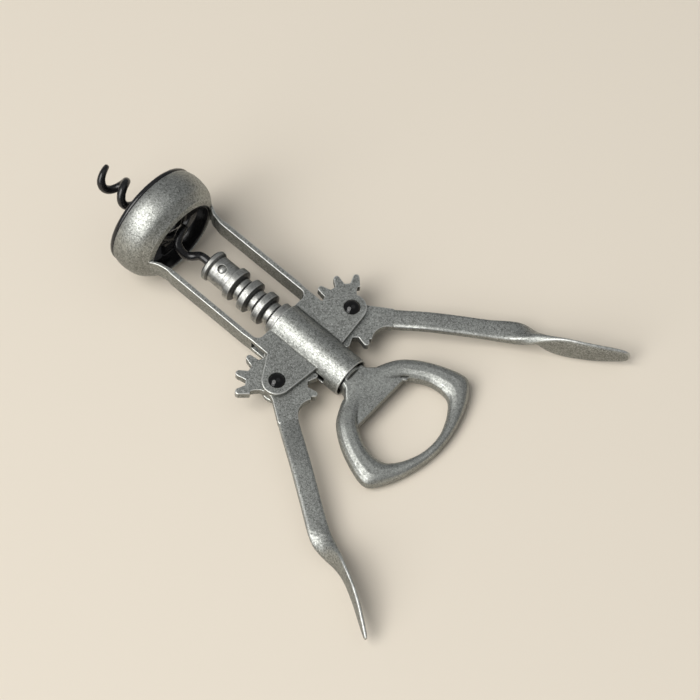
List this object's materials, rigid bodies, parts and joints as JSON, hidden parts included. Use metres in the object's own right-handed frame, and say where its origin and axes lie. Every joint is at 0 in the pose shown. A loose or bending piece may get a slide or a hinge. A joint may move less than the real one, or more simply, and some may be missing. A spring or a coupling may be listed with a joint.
{
  "type": "wing corkscrew",
  "caption": "Double-lever corkscrew: geared wing levers raise a ring rack and worm through a bell that sits on the bottle, with a crown-cap opener loop as its handle.",
  "frame": {"origin": "centre of the bell's mouth, where the bottle enters", "axes": "+X along the tool's axis, out of the bell's mouth; the handle is towards -X. +Z is the front face, square to the plane that the levers swing in"},
  "size_m": [0.1909, 0.143, 0.042],
  "materials": {
    "cast_metal": "speckled pewter-grey cast surface, satin",
    "turned_metal": "turned, satin",
    "steel": "bright drawn steel",
    "liner_plastic": "gloss black",
    "worm_coating": "satin black coating",
    "rivet_coating": "gloss black"
  },
  "bodies": {
    "frame": {"frame_casting": "cast_metal", "bell_liner": "liner_plastic", "rivet_left": "rivet_coating", "rivet_right": "rivet_coating"},
    "rack_body": {"rack": "turned_metal"},
    "screw": {"spindle": "steel", "worm": "worm_coating", "worm_collar": "turned_metal", "collar_pin": "steel", "handle": "cast_metal"},
    "left_lever": {"lever_left": "cast_metal"},
    "right_lever": {"lever_right": "cast_metal"}
  },
  "joints": [
    {"name": "lever_right_swing", "type": "hinge", "parent": "frame", "child": "right_lever", "pos_m": [-0.0807, 0.0199, 0], "axis": [0, 0, -1], "range_deg": [-8, 140]},
    {"name": "lever_left_swing", "type": "hinge", "parent": "frame", "child": "left_lever", "pos_m": [-0.0807, -0.0199, 0], "axis": [0, 0, 1], "range_deg": [-8, 140]},
    {"name": "rack_slide", "type": "slide", "parent": "frame", "child": "rack_body", "axis": [-1, 0, 0], "range_m": [-0.0019, 0.0328]},
    {"name": "screw_turn", "type": "hinge", "parent": "rack_body", "child": "screw", "pos_m": [-0.06, 0, 0], "axis": [1, 0, 0], "continuous": true}
  ],
  "couplings": [
    {"joint": "lever_left_swing", "follows": "lever_right_swing", "ratio": 1},
    {"joint": "rack_slide", "follows": "lever_right_swing", "m_per_rad": 0.013369}
  ]
}
